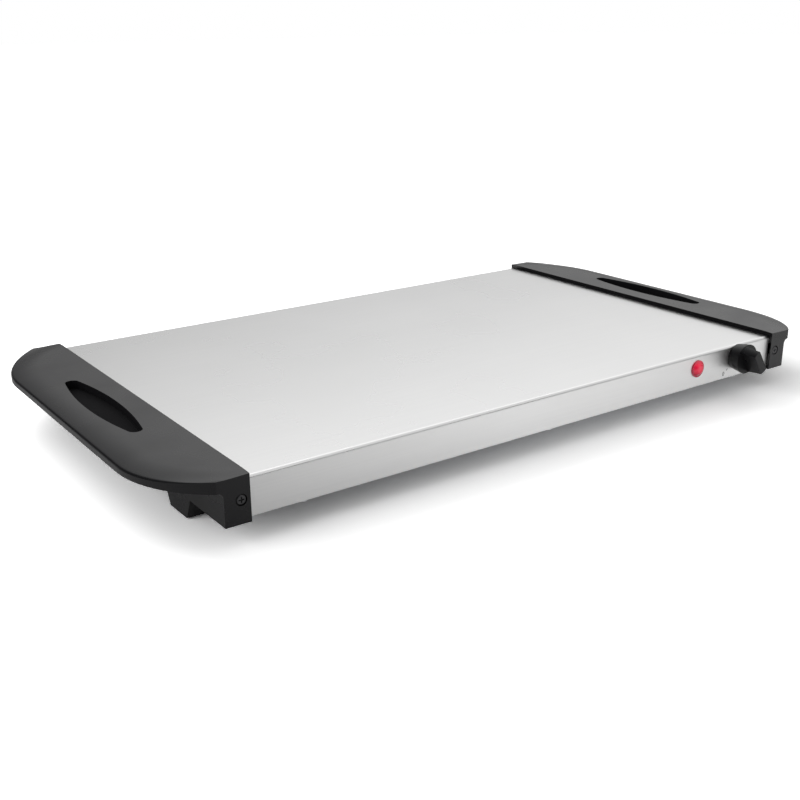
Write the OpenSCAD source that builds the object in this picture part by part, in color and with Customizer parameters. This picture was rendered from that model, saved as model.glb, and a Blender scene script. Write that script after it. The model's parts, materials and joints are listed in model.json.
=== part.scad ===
// Electric food warmer tray: a folded stainless steel cover between two moulded
// end caps, with a foil heater, a bimetal thermostat, a pilot lamp and a mains
// inlet inside. Millimetres, +Z up, the front (with the knob) faces -Y, and the
// origin is on the table under the middle of the tray's outline.

/* [Steel cover] */
// Length of steel that shows between the two end caps
tray_len = 500; // [420:1:600]
// Depth of the steel cover, front to back
tray_w = 330; // [300:1:400]
// Height of the cover's folded front and back walls
side_h = 27; // [25:0.5:36]
// Height of the walls' lower edge above the table
lift = 18; // [16:0.5:30]
// Thickness of the stainless sheet
sheet = 0.8; // [0.6:0.1:1.2]
// Outside radius of the two long bends
bend_r = 2.4; // [1.6:0.1:4]
// Width of the flange turned in under each wall
flange_w = 9; // [7:0.5:16]
// Length of cover hidden inside each end cap
cap_grip = 13.8; // [12:0.1:15]

/* [End caps] */
// Distance from an end cap's inner edge to its outer rim
handle_reach = 57.5; // [50:0.5:80]
// Thickness of the handle at its rim
handle_t = 8.8; // [8:0.1:14]
// Height of the end cap's top above the steel
cap_rise = 3.5; // [2.5:0.1:6]
// How far the end cap stands out in front of and behind the steel
cap_proud = 3.1; // [2.8:0.1:5]
// Thickness of the end wall beside the steel
end_wall = 4; // [3:0.1:5]
// How far the legs reach below the steel's lower edge
leg_drop = 2; // [1.8:0.1:4]
// Length of a corner leg along the tray's end
leg_len = 50; // [44:1:56]
// Radius of the handle's big rounded corners
corner_r = 83.6; // [80:0.1:90]
// Half length of the handle's straight outer rim
rim_half = 100; // [96:1:104]
// Wall and skin of the hollow moulding
skin = 3; // [2:0.1:3.4]
// Rounding between the end wall and the handle's underside
root_r = 4; // [2:0.5:6]

/* [Thumb recess] */
// Length of the blind recess in each handle
recess_len = 130; // [100:1:150]
// Width of the recess
recess_w = 24; // [18:0.5:26]
// Depth of the recess
recess_depth = 6.3; // [4:0.1:6.6]
// Distance from the cap's inner edge to the middle of the recess
recess_x = 28.2; // [28:0.1:34]
// Radius of the recess's two ends
recess_end_r = 5; // [3:0.5:8]

/* [Feet] */
// Distance from the tray's middle to the middle of each foot
foot_y = 99; // [90:1:104]
// Length of a foot where it leaves the cap
foot_top_l = 40; // [34:1:44]
// Length of a foot where it stands
foot_low_l = 25; // [20:1:30]
// Depth of a foot, in from the end wall
foot_d = 17; // [15:0.5:17.5]
// Diameter of the rubber pad in each foot
pad_d = 12; // [8:0.5:13]
// How far the pad stands out of the foot
pad_out = 1; // [0.5:0.1:2]
// Depth of the pad's socket
pad_in = 3; // [2:0.5:5]

/* [Knob] */
// Distance from the right end cap's inner edge to the knob's axis
knob_in = 42.5; // [35:0.5:55]
// Height of the knob's axis above the walls' lower edge
knob_up = 17.2; // [15.5:0.1:17.5]
// Diameter of the knob's skirt at the wall
knob_back_d = 21; // [19.5:0.5:23]
// Diameter of the skirt's front rim
knob_rim_d = 24.8; // [23:0.2:25]
// Length of the skirt
knob_skirt_l = 11.5; // [11:0.5:13]
// How far the grip reaches from the wall
knob_len = 25; // [22:0.5:28]
// Width of the grip bar
grip_w = 7; // [6:0.2:9]
// Diameter of the grip's front end, along the bar
grip_end_d = 20.5; // [16:0.5:22]
// Angle of the grip at rest, seen from the front
knob_tilt = 33; // [-90:1:90]
// Diameter of the control shaft
shaft_d = 6; // [5.5:0.1:6.2]

/* [Pilot lamp] */
// Distance from the right end cap's inner edge to the lamp's axis
lamp_in = 90.5; // [78:0.5:94]
// Height of the lamp's axis above the walls' lower edge
lamp_up = 15.2; // [13.5:0.1:17]
// Diameter of the lens
lens_d = 14.2; // [13:0.2:16]
// Diameter of the lamp's barrel
barrel_d = 10; // [9:0.2:10.6]
// Length of the barrel behind the wall
barrel_l = 22; // [18:0.5:26]

/* [Heater] */
// Gap from the left end cap's inner edge to the heated field
field_gap_left = 12; // [8:1:60]
// Length of the control space between the heated field and the right end cap
control_len = 105; // [104:1:130]
// Gap from the front and back edges of the steel to the heated field
field_gap = 20; // [18:0.5:40]
// Thickness of the aluminium heat spreader
spreader_t = 1; // [0.6:0.1:1.5]
// Diameter of the insulated heating wire
wire_d = 2.4; // [1.8:0.1:3]
// Number of runs of heating wire
wire_runs = 14; // [8:2:16]
// Thickness of the foil backing
foil_t = 0.3; // [0.2:0.1:0.5]
// Thickness of the insulating felt
felt_t = 8; // [5:0.5:9]
// Width of a clamp bar
bar_w = 20; // [12:1:30]
// Distance from the heated field's ends to the middle of the outer clamp bars
bar_in = 40; // [20:1:80]

/* [Mains inlet] */
// Distance from the right end cap's inner edge to the middle of the inlet
inlet_in = 65; // [45:0.5:68]
// Width of the inlet's flange
inlet_flange_w = 48; // [46:0.5:52]
// Height of the inlet's flange
inlet_flange_h = 22.5; // [22:0.5:24]
// Width of the inlet's body
inlet_w = 27; // [26.4:0.2:30]
// Height of the inlet's body
inlet_h = 19.8; // [19:0.2:20.4]
// Depth of the inlet's body behind the wall
inlet_d = 22; // [20:0.5:26]
// Distance between the inlet's two screws
inlet_pitch = 40; // [38:0.5:42]

/* [Hidden] */
$fn = 64;

// Small allowances, each used wherever that kind of fit occurs.
seat = 0.2;      // flat faces of pieces that slide together
free = 0.3;      // radius of a screw's clearance hole over the screw
run = 0.05;      // radial clearance of the turning shaft
eps = 0.01;      // overcut of a subtraction
core = 0.1;      // radial clearance of a piece on its stem

// Heights above the table
z_low = lift;                       // steel's lower edge
z_top = lift + side_h;              // steel's top face
z_under = z_top - sheet;            // underside of the top sheet
z_cap = z_top + cap_rise;           // top of the end caps
z_leg = lift - leg_drop;            // underside of the legs
base_t = 0.7;                       // thickness of the base plate
z_base = z_low + sheet;             // underside of the base plate
z_floor = z_base + base_t;          // upper face of the base plate

// Distances from the middle of the steel
x_in = tray_len / 2;                // inner edge of an end cap
x_end = x_in + cap_grip;            // end of the steel cover
x_wall = x_end + seat;              // inner face of the end wall
x_face = x_wall + end_wall;         // outer face of the end wall
y_out = tray_w / 2;                 // outer face of the steel's walls
y_in = y_out - sheet;               // inner face of the steel's walls
y_cap = y_out + cap_proud;          // front and back of the end caps

// The outline reaches from the knob's end to the back of the caps, so the tray
// is shifted to bring the middle of that outline to the origin.
home_y = (knob_len - cap_proud) / 2;

// Screws that hold the end caps
cap_screw_x = x_in + 6.3;
cap_screw_z = z_leg + 16;
cap_screw_d = 3.5;
cap_head_d = 6.8;
cap_head_h = 1.9;
cap_well_d = 7.8;
cap_screw_l = 10;
nut_plate = 9;
nut_plate_t = 1.2;

// Screws that hold the base plate to the flanges
base_screw_d = 3;
base_head_d = 5.6;
base_head_h = 1.6;
base_screw_l = 6;
base_screw_in = 40;
base_screw_x = [-x_in + base_screw_in, 0, x_in - base_screw_in];
base_screw_y = y_out - flange_w / 2;

// The heater hangs under the top sheet, layer on layer
z_spread = z_under - spreader_t;
z_foil = z_spread - wire_d - foil_t;
z_felt = z_foil - felt_t;
bar_t = 1;
z_bar = z_felt - bar_t;
field_left = x_in - field_gap_left;
field_right = x_in - control_len;
field_y = y_out - field_gap;
bar_x = [-field_left + bar_in, (field_right - field_left) / 2, field_right - bar_in];
stud_d = 4;
stud_y = y_out - field_gap / 2;
stud_nut_h = 3.2;
stud_nut_af = 7;
stud_low = z_bar - stud_nut_h - 1;
tongue = 22;                        // spreader's tongue over the thermal fuse
tongue_y = 30;

// Knob, thermostat and lamp
knob_x = x_in - knob_in;
lamp_x = x_in - lamp_in;
ctl_z = z_low + knob_up;
lamp_z = z_low + lamp_up;
knob_gap = 0.6;
bush_d = 9.5;
bush_out = 4;
bush_in = 1.2;
nut_af = 12.5;
nut_h = 2.4;
stack_off = 15;
stack_d = 9;
rivet_d = 3;
ring_t = 4.6;
blade_t = 0.5;
blade_h = 6;
bimetal_t = 0.8;
y_plate = -y_in + bush_in;
y_blade1 = y_plate + ring_t;
y_blade2 = y_blade1 + blade_t + ring_t;
y_bimetal = y_blade2 + blade_t + ring_t;
blade_tail = 12;
shaft_out = knob_skirt_l - 0.7;
shaft_flat = 1.5;
flat_l = 5.5;
spring_t = 0.6;

// Inlet
inlet_x = x_in - inlet_in;
z_inlet = z_low + side_h / 2;
inlet_flange_t = 2.5;
socket_w = 24;
socket_h = 16.4;
socket_d = 16;
pin_w = 2;
pin_h = 4;
pin_pitch = 7;
earth_up = 2;
tab_l = 8;
m3 = 3;

// Terminal block, on the base plate
block_x = x_in - 45;
block_y = y_out - 125;
block_l = 34;
block_w = 17;
block_h = 13;
way = block_l / 3;                  // pitch of its three ways
way_d = 5;
pair = 1.2;                         // half the distance between two thin wires in one way
way_deep = 5;
way_screw_x = 5;
way_screw_d = 3.4;
way_screw_l = 4.5;

// Thermal fuse, under the spreader's tongue
fuse_x = field_right + tongue / 2;
fuse_y = tongue_y / 2;
fuse_d = 4;
fuse_l = 12;
fuse_z = z_spread - fuse_d / 2;

// Wires
lead_d = 2.6;
thin_d = 1.9;
z_wire = z_floor + 5;

// Earth stud, under the top sheet near the inlet
earth_x = x_in - 14;
earth_y = y_in - 42;

module home() {
    translate([0, home_y, 0]) children();
}

// A round bar or bore along Y from y0 to y1.
module along_y(x, z, d, y0, y1) {
    translate([x, y0, z]) rotate([-90, 0, 0]) cylinder(h = y1 - y0, d = d);
}

// A 2D outline in (Y, Z), drawn out along X.
module along_x(x0, x1) {
    translate([x0, 0, 0]) rotate([90, 0, 90]) linear_extrude(height = x1 - x0) children();
}

// A block from its low corner to its high corner.
module block(low, high) {
    translate(low) cube(high - low);
}

module hexagon(af, h) {
    cylinder(h = h, d = af / cos(30), $fn = 6);
}

module ring(outer_d, inner_d, h) {
    difference() {
        cylinder(h = h, d = outer_d);
        translate([0, 0, -eps]) cylinder(h = h + 2 * eps, d = inner_d);
    }
}

// ---------------------------------------------------------------- steel cover

// The cover's section: square at the foot, rounded at the two top bends.
module bent_outline(w, low, high, r) {
    translate([-w / 2, low]) square([w, high - low - r]);
    translate([-w / 2 + r, low]) square([w - 2 * r, high - low]);
    for (s = [-1, 1]) translate([s * (w / 2 - r), high - r]) circle(r = r);
}

module top_cover() color("gainsboro") home() {
    difference() {
        along_x(-x_end, x_end) difference() {
            bent_outline(tray_w, z_low, z_top, bend_r);
            bent_outline(2 * y_in, z_low + sheet, z_under, bend_r - sheet);
            translate([-y_out + flange_w, z_low - eps])
                square([tray_w - 2 * flange_w, sheet + 2 * eps]);
        }
        // bush and lamp, in the front wall
        along_y(knob_x, ctl_z, bush_d + 2 * core, -y_out - 1, -y_in + 1);
        along_y(lamp_x, lamp_z, barrel_d + 2 * core, -y_out - 1, -y_in + 1);
        // inlet and its screws, in the back wall
        block([inlet_x - inlet_w / 2 - seat, y_in - 1, z_inlet - inlet_h / 2 - seat],
            [inlet_x + inlet_w / 2 + seat, y_out + 1, z_inlet + inlet_h / 2 + seat]);
        for (s = [-1, 1])
            along_y(inlet_x + s * inlet_pitch / 2, z_inlet, m3 + 2 * free, y_in - 1, y_out + 1);
        // end cap screws
        for (sx = [-1, 1], sy = [-1, 1])
            along_y(sx * cap_screw_x, cap_screw_z, cap_screw_d + 2 * free,
                sy * (y_in + sheet / 2) - 1, sy * (y_in + sheet / 2) + 1);
        // base screws, through the flanges
        for (x = base_screw_x, s = [-1, 1])
            translate([x, s * base_screw_y, z_low - 1])
                cylinder(h = sheet + 2, d = base_screw_d + 2 * free);
    }
}

module base_plate() color("lightsteelblue") home() {
    reach = y_in - 2 * seat;
    bead_w = 8;
    bead_h = 1.2;
    bead_x = x_in - 50;
    difference() {
        union() {
            block([-x_end, -reach, z_base], [x_end, reach, z_floor]);
            for (s = [-1, 1])
                block([-bead_x, s * reach / 2 - bead_w / 2, z_floor - eps],
                    [bead_x, s * reach / 2 + bead_w / 2, z_floor + bead_h]);
        }
        for (s = [-1, 1])
            block([-bead_x + base_t, s * reach / 2 - bead_w / 2 + base_t, z_base - 1],
                [bead_x - base_t, s * reach / 2 + bead_w / 2 - base_t, z_base + bead_h]);
        for (x = base_screw_x, s = [-1, 1])
            translate([x, s * base_screw_y, z_base - 1])
                cylinder(h = base_t + 2, d = base_screw_d + 2 * core);
    }
}

// ---------------------------------------------------------------- end caps

// Plan of the right-hand handle: a straight rim and two big rounded corners.
module handle_outline(inset) {
    x0 = x_in + inset;
    x1 = x_in + handle_reach - inset;
    y1 = y_cap - inset;
    translate([x0, -rim_half]) square([x1 - x0, 2 * rim_half]);
    for (s = [-1, 1]) intersection() {
        translate([x0, s > 0 ? rim_half - eps : -y1]) square([x1 - x0, y1 - rim_half + eps]);
        translate([x_in + handle_reach - corner_r, s * rim_half])
            circle(r = corner_r - inset, $fn = 160);
    }
}

// Plan of the thumb recess: a lens with small round ends.
module recess_outline(grow) {
    half_l = recess_len / 2 - recess_end_r;
    half_w = recess_w / 2 - recess_end_r;
    side_r = (half_l * half_l + half_w * half_w) / (2 * half_w);
    translate([x_in + recess_x, 0]) {
        intersection() {
            square([recess_w + 2 * grow, 2 * half_l + recess_end_r], center = true);
            intersection_for (s = [-1, 1])
                translate([s * (side_r - half_w), 0]) circle(r = side_r + recess_end_r + grow, $fn = 240);
        }
        for (s = [-1, 1]) translate([0, s * half_l]) circle(r = recess_end_r + grow);
    }
}

module recess(grow, low, high) {
    translate([0, 0, low]) linear_extrude(height = high - low) recess_outline(grow);
}

// Side view of a foot: it narrows towards the table.
module foot_outline(s) {
    polygon([[s * (foot_y - foot_top_l / 2), z_leg], [s * (foot_y - foot_low_l / 2), pad_out],
        [s * (foot_y + foot_low_l / 2), pad_out], [s * (foot_y + foot_top_l / 2), z_leg]]);
}

// The right-hand cap; the left one is its mirror image.
module end_cap() {
    difference() {
        union() {
            // handle
            translate([0, 0, z_cap - handle_t])
                linear_extrude(height = handle_t) handle_outline(0);
            // sleeve that takes the end of the steel box
            block([x_in, -y_cap, z_leg], [x_face, y_cap, z_cap - skin]);
            // rounding between the end wall and the handle
            difference() {
                block([x_face - eps, -y_cap + skin, z_cap - handle_t - root_r],
                    [x_face + root_r, y_cap - skin, z_cap - handle_t + eps]);
                along_y(x_face + root_r, z_cap - handle_t - root_r, 2 * root_r, -y_cap, y_cap);
            }
            for (s = [-1, 1]) along_x(x_face - foot_d, x_face) foot_outline(s);
        }
        // pocket for the steel box
        block([x_in - 1, -y_out - seat, z_low - seat], [x_wall, y_out + seat, z_top + seat]);
        // the sleeve is open below, between the feet
        block([x_in - 1, -y_cap + leg_len + foot_top_l, z_leg - 1],
            [x_wall, y_cap - leg_len - foot_top_l, z_low]);
        recess(0, z_cap - recess_depth, z_cap + 1);
        // hollow underside of the handle, around the recess
        difference() {
            translate([0, 0, z_cap - handle_t - 1]) linear_extrude(height = handle_t - skin + 1)
                intersection() {
                    handle_outline(skin);
                    translate([x_face + root_r, -y_cap]) square([handle_reach, 2 * y_cap]);
                }
            recess(skin, z_cap - handle_t - 2, z_cap);
        }
        for (s = [-1, 1]) {
            // screw wells
            along_y(cap_screw_x, cap_screw_z, cap_screw_d + 2 * free,
                s > 0 ? y_out - 1 : -y_cap - 1, s > 0 ? y_cap + 1 : -y_out + 1);
            along_y(cap_screw_x, cap_screw_z, cap_well_d,
                s > 0 ? y_cap - cap_head_h - seat : -y_cap - 1,
                s > 0 ? y_cap + 1 : -y_cap + cap_head_h + seat);
            // pad sockets
            translate([x_face - foot_d / 2, s * foot_y, pad_out - 1])
                cylinder(h = pad_in + 1, d = pad_d);
        }
    }
}

module right_end_cap() color([0.2, 0.2, 0.21]) home() end_cap();

module left_end_cap() color([0.2, 0.2, 0.21]) home() mirror([1, 0, 0]) end_cap();

module foot_pads() color([0.08, 0.08, 0.08]) home() {
    for (sx = [-1, 1], sy = [-1, 1])
        translate([sx * (x_face - foot_d / 2), sy * foot_y, 0])
            cylinder(h = pad_out + pad_in, d = pad_d - 2 * core);
}

// A self-tapping screw along Y, its head towards the side s of the tray.
module cap_screw(x, s) {
    head = s * y_cap;
    translate([x, head, cap_screw_z]) rotate([s * 90, 0, 0]) difference() {
        union() {
            translate([0, 0, core]) cylinder(h = cap_head_h, d = cap_head_d);
            cylinder(h = cap_screw_l, d = cap_screw_d);
        }
        translate([-2.2, -0.4, -eps]) cube([4.4, 0.8, 1.1]);
        translate([-0.4, -2.2, -eps]) cube([0.8, 4.4, 1.1]);
    }
}

module cap_screws() color("dimgray") home() {
    for (sx = [-1, 1], sy = [-1, 1]) cap_screw(sx * cap_screw_x, sy);
}

// A flat spring nut lies behind the steel at each cap screw.
module spring_nuts() color("slategray") home() {
    for (sx = [-1, 1], s = [-1, 1]) difference() {
        translate([sx * cap_screw_x, s * (y_in - nut_plate_t / 2 - core), cap_screw_z])
            cube([nut_plate, nut_plate_t, nut_plate], center = true);
        along_y(sx * cap_screw_x, cap_screw_z, cap_screw_d + 2 * core,
            s * y_in - 2 * nut_plate_t, s * y_in + 2 * nut_plate_t);
    }
}

module base_screws() color("silver") home() {
    for (x = base_screw_x, s = [-1, 1]) translate([x, s * base_screw_y, 0]) {
        difference() {
            union() {
                translate([0, 0, z_low - base_head_h]) cylinder(h = base_head_h, d = base_head_d);
                translate([0, 0, z_low - base_head_h]) cylinder(h = base_screw_l, d = base_screw_d);
            }
            translate([-1.8, -0.35, z_low - base_head_h - eps]) cube([3.6, 0.7, 0.9]);
            translate([-0.35, -1.8, z_low - base_head_h - eps]) cube([0.7, 3.6, 0.9]);
        }
    }
}

// ---------------------------------------------------------------- heater

module heat_spreader() color("lightgray") home() {
    block([-field_left, -field_y, z_spread], [field_right, field_y, z_under]);
    block([field_right - eps, 0, z_spread], [field_right + tongue, tongue_y, z_under]);
}

// One insulated wire runs to and fro along the field, with a round turn at each end.
wire_pitch = (2 * field_y - 30) / (wire_runs - 1);
wire_left = -field_left + 14 + wire_pitch / 2;
wire_right = field_right - 14 - wire_pitch / 2;
wire_z = z_spread - wire_d / 2;

module wire_turn(x, y, side) {
    translate([x, y, wire_z]) rotate([0, 0, side > 0 ? -90 : 90])
        rotate_extrude(angle = 180, $fn = 48)
            translate([wire_pitch / 2, 0]) circle(d = wire_d, $fn = 24);
}

module heating_wire() color("firebrick") home() {
    for (i = [0 : wire_runs - 1]) {
        y = -(wire_runs - 1) * wire_pitch / 2 + i * wire_pitch;
        first = i == 0 ? field_right - 8 : wire_right;
        last = i == wire_runs - 1 ? field_right - 8 : wire_right;
        translate([wire_left, y, wire_z]) rotate([0, 90, 0])
            cylinder(h = max(first, last) - wire_left, d = wire_d, $fn = 24);
        if (i < wire_runs - 1)
            wire_turn(i % 2 == 0 ? wire_left : wire_right, y + wire_pitch / 2, i % 2 == 0 ? -1 : 1);
    }
}

module foil_backing() color("whitesmoke") home() {
    block([-field_left, -field_y, z_foil], [field_right, field_y, z_foil + foil_t]);
}

module insulating_felt() color("khaki") home() {
    block([-field_left + 2, -field_y + 2, z_felt], [field_right - 2, field_y - 2, z_foil]);
}

module weld_studs() color("silver") home() {
    for (x = bar_x, sy = [-1, 1])
        translate([x, sy * stud_y, stud_low]) cylinder(h = z_under - stud_low, d = stud_d);
    translate([earth_x, earth_y, z_under - 12]) cylinder(h = 12, d = stud_d);
}

module clamp_bars() color("lightsteelblue") home() {
    for (x = bar_x) difference() {
        block([x - bar_w / 2, -y_in + 3, z_bar], [x + bar_w / 2, y_in - 3, z_felt]);
        for (sy = [-1, 1]) translate([x, sy * stud_y, z_bar - 1])
            cylinder(h = bar_t + 2, d = stud_d + 2 * free);
    }
}

module stud_nut(low) {
    translate([0, 0, low]) difference() {
        hexagon(stud_nut_af, stud_nut_h);
        translate([0, 0, -1]) cylinder(h = stud_nut_h + 2, d = stud_d + 2 * core);
    }
}

module stud_nuts() color("gray") home() {
    for (x = bar_x, sy = [-1, 1])
        translate([x, sy * stud_y, 0]) stud_nut(z_bar - stud_nut_h);
    translate([earth_x, earth_y, 0]) stud_nut(z_under - tag_drop - stud_nut_h);
}

// ---------------------------------------------------------------- thermostat

module thermostat_frame() color("lightslategray") home() {
    difference() {
        union() {
            block([knob_x - blade_h - 2, -y_in, ctl_z - 7],
                [knob_x + stack_off + 6, y_plate, ctl_z + 7]);
            along_y(knob_x, ctl_z, bush_d, -y_out - bush_out, y_plate);
        }
        along_y(knob_x, ctl_z, shaft_d + 2 * run, -y_out - bush_out - 1, y_plate + 1);
        along_y(knob_x + stack_off, ctl_z, rivet_d + 2 * core, -y_in - 1, y_plate + 1);
    }
}

module bush_nut() color("gold") home() {
    translate([knob_x, -y_out, ctl_z]) rotate([90, 0, 0]) difference() {
        hexagon(nut_af, nut_h);
        translate([0, 0, -1]) cylinder(h = nut_h + 2, d = bush_d + 2 * core);
    }
}

module stack_rivet() color("silver") home() {
    head_y = y_bimetal + bimetal_t;
    along_y(knob_x + stack_off, ctl_z, rivet_d, -y_in, head_y + 1);
    along_y(knob_x + stack_off, ctl_z, rivet_d + 3, head_y, head_y + 1.2);
}

module ceramic_spacers() color("white") home() {
    for (y = [y_plate, y_blade1 + blade_t, y_blade2 + blade_t])
        translate([knob_x + stack_off, y, ctl_z]) rotate([-90, 0, 0])
            ring(stack_d, rivet_d + 2 * core, ring_t);
}

module blade(y, t, tail) {
    difference() {
        block([knob_x - 3, y, ctl_z - blade_h / 2],
            [knob_x + stack_off + stack_d / 2 + tail, y + t, ctl_z + blade_h / 2]);
        along_y(knob_x + stack_off, ctl_z, rivet_d + 2 * core, y - 1, y + t + 1);
    }
}

module contact_blades() color("goldenrod") home() {
    blade(y_blade1, blade_t, blade_tail);
    along_y(knob_x, ctl_z, 4, y_blade1 + blade_t - eps, y_blade1 + blade_t + ring_t / 2 - core);
    blade(y_blade2, blade_t, blade_tail);
    along_y(knob_x, ctl_z, 4, y_blade2 - ring_t / 2 + core, y_blade2 + eps);
}

module bimetal_strip() color("rosybrown") home() blade(y_bimetal, bimetal_t, 0);

module control_shaft() color("silver") home() {
    difference() {
        along_y(knob_x, ctl_z, shaft_d, -y_out - shaft_out, y_blade1 - seat);
        translate([knob_x, -y_out, ctl_z]) rotate([90, 0, 0]) rotate([0, 0, knob_tilt])
            translate([-shaft_d, shaft_d / 2 - shaft_flat, shaft_out - flat_l])
                cube([2 * shaft_d, shaft_d, flat_l + 1]);
    }
}

// Seen from the front: x to the right, y up, z out of the wall.
module at_knob() {
    home() translate([knob_x, -y_out, ctl_z]) rotate([90, 0, 0]) rotate([0, 0, knob_tilt])
        children();
}

module control_knob() color([0.13, 0.13, 0.14]) at_knob() {
    difference() {
        union() {
            translate([0, 0, knob_gap])
                cylinder(h = knob_skirt_l - knob_gap, d1 = knob_back_d, d2 = knob_rim_d, $fn = 96);
            intersection() {
                translate([0, 0, knob_skirt_l - 1])
                    cylinder(h = knob_len - knob_skirt_l + 1, d1 = knob_rim_d - 0.5, d2 = grip_end_d,
                        $fn = 96);
                translate([-grip_w / 2, -knob_rim_d / 2, knob_skirt_l - 1])
                    cube([grip_w, knob_rim_d, knob_len - knob_skirt_l + 1]);
            }
        }
        // room for the bush and its nut
        cylinder(h = bush_out + 1, d = nut_af / cos(30) + 2 * free);
        // bore with a flat, and the clip's slot beside the flat
        difference() {
            cylinder(h = shaft_out + 0.5, d = shaft_d + 2 * run);
            translate([-shaft_d, shaft_d / 2 - shaft_flat + spring_t + 2 * run, shaft_out - flat_l])
                cube([2 * shaft_d, shaft_d, flat_l + 2]);
        }
    }
}

module knob_clip() color("lightgray") at_knob() {
    translate([-1.6, shaft_d / 2 - shaft_flat + run, shaft_out - flat_l + 0.5])
        cube([3.2, spring_t, flat_l - 1]);
}

// ---------------------------------------------------------------- pilot lamp

// Seen from the front, z out of the wall.
module at_lamp() {
    home() translate([lamp_x, -y_out, lamp_z]) rotate([90, 0, 0]) children();
}

lens_rim = 0.9;
lens_out = 3.3;
bulb_d = 5.6;

module lamp_lens() color([0.85, 0.1, 0.2]) at_lamp() {
    difference() {
        union() {
            cylinder(h = lens_rim, d = lens_d);
            translate([0, 0, lens_rim - eps])
                cylinder(h = lens_out - lens_rim + eps, d1 = lens_d - 2.4, d2 = lens_d - 7.6);
            translate([0, 0, -sheet - 3]) cylinder(h = sheet + 3 + eps, d = barrel_d - 1.6);
        }
        translate([0, 0, -sheet - 4]) cylinder(h = sheet + 4 + lens_rim + 0.6, d = bulb_d + 0.4);
    }
}

module lamp_barrel() color("ivory") at_lamp() {
    difference() {
        translate([0, 0, -barrel_l]) cylinder(h = barrel_l, d = barrel_d);
        translate([0, 0, -barrel_l + 2]) cylinder(h = barrel_l, d = bulb_d + 0.8);
        translate([0, 0, -sheet - 3 - core]) cylinder(h = sheet + 4, d = barrel_d - 1.6 + 2 * core);
    }
}

module neon_bulb() color("orange") at_lamp() {
    bulb_end = -1.7;
    translate([0, 0, -barrel_l + 2]) cylinder(h = barrel_l - 2 + bulb_end, d = bulb_d);
    translate([0, 0, bulb_end]) sphere(d = bulb_d);
}

module lamp_ring() color("silver") at_lamp() {
    translate([0, 0, -sheet - 1]) ring(barrel_d + 5, barrel_d + 2 * core, 1);
}

// ---------------------------------------------------------------- mains inlet

// Socket outline with its two cut corners, seen from behind the tray.
module socket_outline(w, h, cut) {
    polygon([[-w / 2, -h / 2], [w / 2, -h / 2], [w / 2, h / 2 - cut], [w / 2 - cut, h / 2],
        [-w / 2 + cut, h / 2], [-w / 2, h / 2 - cut]]);
}

// z points out of the back wall.
module at_inlet() {
    home() translate([inlet_x, y_out, z_inlet]) rotate([90, 0, 180]) children();
}

module mains_inlet() color([0.1, 0.1, 0.1]) at_inlet() {
    difference() {
        union() {
            translate([-inlet_flange_w / 2, -inlet_flange_h / 2, 0])
                cube([inlet_flange_w, inlet_flange_h, inlet_flange_t]);
            translate([-inlet_w / 2, -inlet_h / 2, -inlet_d]) cube([inlet_w, inlet_h, inlet_d + eps]);
        }
        translate([0, 0, inlet_flange_t - socket_d]) linear_extrude(height = socket_d + 1)
            socket_outline(socket_w, socket_h, 4);
        for (s = [-1, 1]) translate([s * inlet_pitch / 2, 0, -1])
            cylinder(h = inlet_flange_t + 2, d = m3 + 2 * free);
        for (i = [-1, 0, 1]) pin_slot(i, -inlet_d - 1, inlet_flange_t - socket_d + 1, core);
    }
}

// The three pins: live and neutral in line, the earth pin set off.
module pin_slot(i, low, high, grow) {
    translate([i * pin_pitch - pin_w / 2 - grow, (i == 0 ? earth_up : -earth_up) - pin_h / 2 - grow, low])
        cube([pin_w + 2 * grow, pin_h + 2 * grow, high - low]);
}

module inlet_pins() color("gold") at_inlet() {
    for (i = [-1, 0, 1])
        pin_slot(i, -inlet_d - tab_l, inlet_flange_t - (i == 0 ? 2 : 4), 0);
}

module inlet_screws() color("silver") at_inlet() {
    for (s = [-1, 1]) translate([s * inlet_pitch / 2, 0, 0]) difference() {
        union() {
            translate([0, 0, inlet_flange_t]) cylinder(h = 0.5, d = 5.6);
            translate([0, 0, -sheet - 5]) cylinder(h = inlet_flange_t + sheet + 5.2, d = m3);
        }
        translate([-2, -0.35, inlet_flange_t + 0.2]) cube([4, 0.7, 1]);
    }
}

module inlet_nuts() color("gray") at_inlet() {
    for (s = [-1, 1]) translate([s * inlet_pitch / 2, 0, -sheet - 2.4]) difference() {
        hexagon(5.5, 2.4);
        translate([0, 0, -1]) cylinder(h = 4.4, d = m3 + 2 * core);
    }
}

// ---------------------------------------------------------------- inner electrics

module terminal_block() color("ivory") home() {
    difference() {
        block([block_x - block_w / 2, block_y - block_l / 2, z_floor],
            [block_x + block_w / 2, block_y + block_l / 2, z_floor + block_h]);
        for (i = [-1, 0, 1], s = [-1, 1]) {
            translate([block_x + s * block_w / 2, block_y + i * way, z_wire])
                rotate([0, s * -90, 0]) translate([0, 0, -1]) cylinder(h = way_deep + 1, d = way_d);
            translate([block_x + s * way_screw_x, block_y + i * way, z_wire])
                cylinder(h = block_h, d = way_screw_d + 2 * core);
        }
    }
}

// A slotted grub screw over each wire end. The ones of the spare middle way stand higher.
module terminal_screws() color("gold") home() {
    for (i = [-1, 0, 1], s = [-1, 1]) {
        low = z_wire + (i == 0 ? way_d / 2 : s > 0 ? lead_d / 2 : thin_d / 2) + 2 * core;
        translate([block_x + s * way_screw_x, block_y + i * way, low]) difference() {
            cylinder(h = way_screw_l, d = way_screw_d);
            translate([-way_screw_d, -0.35, way_screw_l - 0.8]) cube([2 * way_screw_d, 0.7, 1]);
        }
    }
}

module thermal_fuse() color("peru") home() {
    along_y(fuse_x, fuse_z, fuse_d, fuse_y - fuse_l / 2, fuse_y + fuse_l / 2);
    along_y(fuse_x, fuse_z, 1, fuse_y - fuse_l / 2 - 8, fuse_y + fuse_l / 2 + 8);
}

clip_w = 6;
clip_t = 0.8;

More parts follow.
